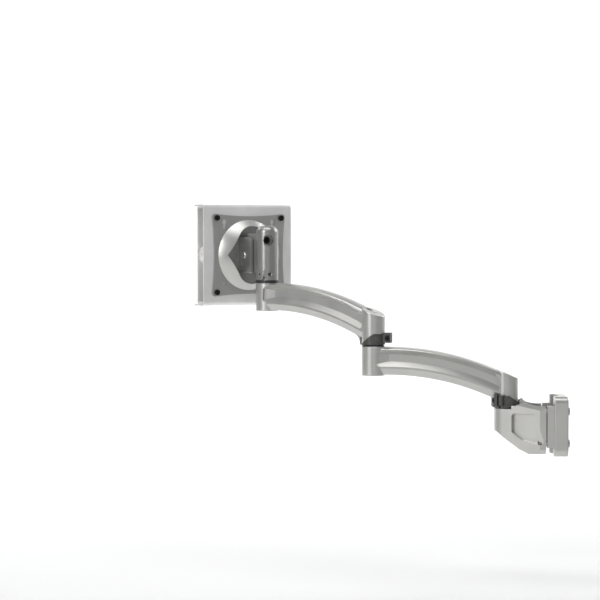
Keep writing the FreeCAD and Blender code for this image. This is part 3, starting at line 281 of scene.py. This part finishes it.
def knobPiece(look):
    # Radius over distance and angle. Stud: studRadius less a cosine of (distance / pitch - angle / one turn).
    # Grip: radius less a cosine flute that fades in over the rounded rim. Front: a shallow dish.
    angle = np.linspace(0, 2 * math.pi, look["around"], endpoint=False)
    quarter = np.linspace(0, math.pi / 2, look["rimRows"])
    inner, outer, end, stud = look["inner"], look["outer"], look["studEnd"], look["studRadius"]
    shank = np.linspace(end + look["tip"], inner - look["shoulder"], look["shankRows"])
    r, k, dish = look["radius"], look["round"], look["dishRadius"]
    floor = outer - look["dishDepth"]
    tipZero, rimZero, frontZero = np.zeros(2), np.zeros(look["rimRows"]), np.zeros(4)
    place = [[end, end], shank, [inner, inner], inner + k - k * np.cos(quarter),
             outer - k + k * np.sin(quarter), [outer, outer - look["dishEdge"], floor, floor]]
    size = [[0, stud - look["tip"]], np.full(look["shankRows"], stud), [stud, r - k - look["backFlat"]],
            r - k + k * np.sin(quarter), r - k + k * np.cos(quarter),
            [dish + look["dishEdge"], dish, dish - look["dishFloor"], 0]]
    fade, deep = look["rimFlute"], 1 - look["rimFlute"]
    flute = [tipZero, np.zeros(look["shankRows"]), [0, look["backFlute"]], fade + deep * np.sin(quarter),
             fade + deep * np.cos(quarter), frontZero]
    runIn = np.minimum(1, np.linspace(0, look["threadIn"], look["shankRows"]))
    thread = [tipZero, runIn, tipZero, rimZero, rimZero, frontZero]
    place, size, flute, thread = (np.concatenate(part)[:, None] for part in (place, size, flute, thread))
    wave = 0.5 + 0.5 * np.cos(look["flutes"] * angle)
    helix = 0.5 - 0.5 * np.cos(2 * math.pi * place / look["pitch"] - angle)
    radius = size - flute * look["fluteDepth"] * wave ** 2 - thread * look["threadDepth"] * helix
    place = np.broadcast_to(place, radius.shape)
    piece = surfaceMesh("flutedKnob", turnedGrid("thumbscrew_turn", place, radius, angle + 0 * radius))
    piece.data.materials.append(finishes["knob_white"])
    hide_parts("thumbscrew")
    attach(piece, "thumb_knob")


waveLook = {"near": 0.0055, "far": 0.0063, "rise": 0.0002, "waves": 3, "inner": 0.01205, "outer": 0.0199,
            "edge": 0.0001, "around": 144}


def wavePiece(look):
    # Spring washer: a flat ring whose distance along the pivot is a cosine of three times the angle.
    angle = np.linspace(0, 2 * math.pi, look["around"], endpoint=False)
    near, far, edge = look["near"], look["far"], look["edge"]
    inner, outer = look["inner"], look["outer"]
    place = np.array([near, near, near + edge, far - edge, far, far, far - edge, near + edge, near])[:, None]
    size = np.array([inner + edge, outer - edge, outer, outer, outer - edge, inner + edge, inner, inner,
                     inner + edge])[:, None]
    lift = look["rise"] * np.cos(look["waves"] * angle)
    place = place + lift
    size = size + 0 * place
    piece = surfaceMesh("waveSpringWasher", turnedGrid("plate_rotation", place, size, angle + 0 * size))
    piece.data.materials.append(finishes["post_steel"])
    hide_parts("pivot_wave_washer")
    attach(piece, "tilt_head")


knobPiece(knobLook)
wavePiece(waveLook)
print("fluted knob and wave washer made")


stageLook = {"floorZ": -0.20, "width": 9.0, "front": -5.0, "bend": 2.2, "radius": 1.6, "height": 5.0,
             "rows": 24, "paper": (0.94, 0.94, 0.935), "dim": (0.93, 0.93, 0.925),
             "pale": (0.95, 0.95, 0.945), "cloud": 1.5, "roughness": 0.9}


def sweepStage(look):
    # Floor that turns up into a backdrop: profile of a straight, a quarter circle and a straight, along X.
    turn = np.linspace(0, math.pi / 2, look["rows"])
    r = look["radius"]
    y = np.concatenate([[look["front"]], look["bend"] + r * np.sin(turn), [look["bend"] + r]])
    z = np.concatenate([[0], r - r * np.cos(turn), [look["height"]]]) + look["floorZ"]
    x = np.linspace(-look["width"], look["width"], 2)
    xs, ys = np.meshgrid(x, y, indexing="ij")
    zs = np.broadcast_to(z, ys.shape)
    count = len(y)
    grid = np.arange(2 * count).reshape(2, count)
    quads = np.stack([grid[0, :-1], grid[1, :-1], grid[1, 1:], grid[0, 1:]], axis=1)
    mesh = bpy.data.meshes.new("studioSweep")
    mesh.from_pydata(np.stack([xs, ys, zs], axis=-1).reshape(-1, 3).tolist(), [], quads.tolist())
    mesh.shade_smooth()
    piece = bpy.data.objects.new("studioSweep", mesh)
    bpy.context.scene.collection.objects.link(piece)
    mat, tree, shader = newMaterial("paleStudioPaper", look["paper"], 0.0, look["roughness"])
    cloud = addNoise(tree, objectPattern(tree), look["cloud"], 3.0)
    stops = [(noiseSpan[0], look["dim"]), (noiseSpan[1], look["pale"])]
    tree.links.new(addRamp(tree, cloud, stops), shader.inputs["Base Color"])
    mesh.materials.append(mat)


sweepStage(stageLook)


def addArea(name, place, target, size, power):
    # A rectangular area light that faces its target.
    lamp = bpy.data.lights.new(name, "AREA")
    lamp.shape = "RECTANGLE"
    lamp.size = size[0]
    lamp.size_y = size[1]
    lamp.energy = power
    obj = bpy.data.objects.new(name, lamp)
    obj.location = place
    obj.rotation_euler = (Vector(target) - Vector(place)).to_track_quat("-Z", "Y").to_euler()
    bpy.context.scene.collection.objects.link(obj)


lowCorner, highCorner = cadBox
middle = (Vector(lowCorner) + Vector(highCorner)) / 2
lightLook = {                       # place from the middle of the arm, size, watts
    "topSoftbox": ((-0.15, -0.35, 1.5), (1.5, 0.9), 10),
    "leftKey": ((-1.25, -1.5, 0.75), (0.45, 1.4), 13),
    "frontFill": ((0.25, -2.6, 0.1), (0.5, 0.9), 1),
    "rightRim": ((1.6, 0.5, 0.7), (0.3, 1.2), 3),
}
for lampName, (offset, size, power) in lightLook.items():
    addArea(lampName, middle + Vector(offset), middle, size, power)
paperLook = {"left": -2.2, "right": 2.2, "near": 1.6, "high": 1.5, "power": 55, "size": (1.8, 1.8),
             "aim": (0, 3.8, 0.2)}
for side in ("left", "right"):
    place = middle + Vector((paperLook[side], paperLook["near"], paperLook["high"]))
    aim = middle + Vector(paperLook["aim"])
    addArea(side + "PaperLight", place, aim, paperLook["size"], paperLook["power"])

airLook = {"color": (0.97, 0.98, 1.0, 1), "strength": 0.33}
world = bpy.data.worlds.new("studioAir")
world.use_nodes = True
air = world.node_tree.nodes["Background"]
air.inputs["Color"].default_value = airLook["color"]
air.inputs["Strength"].default_value = airLook["strength"]
bpy.context.scene.world = world
print("view transform found:", bpy.context.scene.view_settings.view_transform)
bpy.context.scene.view_settings.view_transform = "Standard"

viewLook = {"place": (-0.3105, -2.774, 0.247), "lens": 129.0, "sensor": 36.0, "far": 60.0,
            "dip": 1.652}
lens = bpy.data.cameras.new("viewCamera")
lens.sensor_width = viewLook["sensor"]
lens.lens = viewLook["lens"]
lens.clip_end = viewLook["far"]
cam = bpy.data.objects.new("viewCamera", lens)
cam.location = viewLook["place"]
cam.rotation_euler = (math.radians(90 - viewLook["dip"]), 0, 0)
bpy.context.scene.collection.objects.link(cam)
bpy.context.scene.camera = cam
print("stage, lights and camera set")
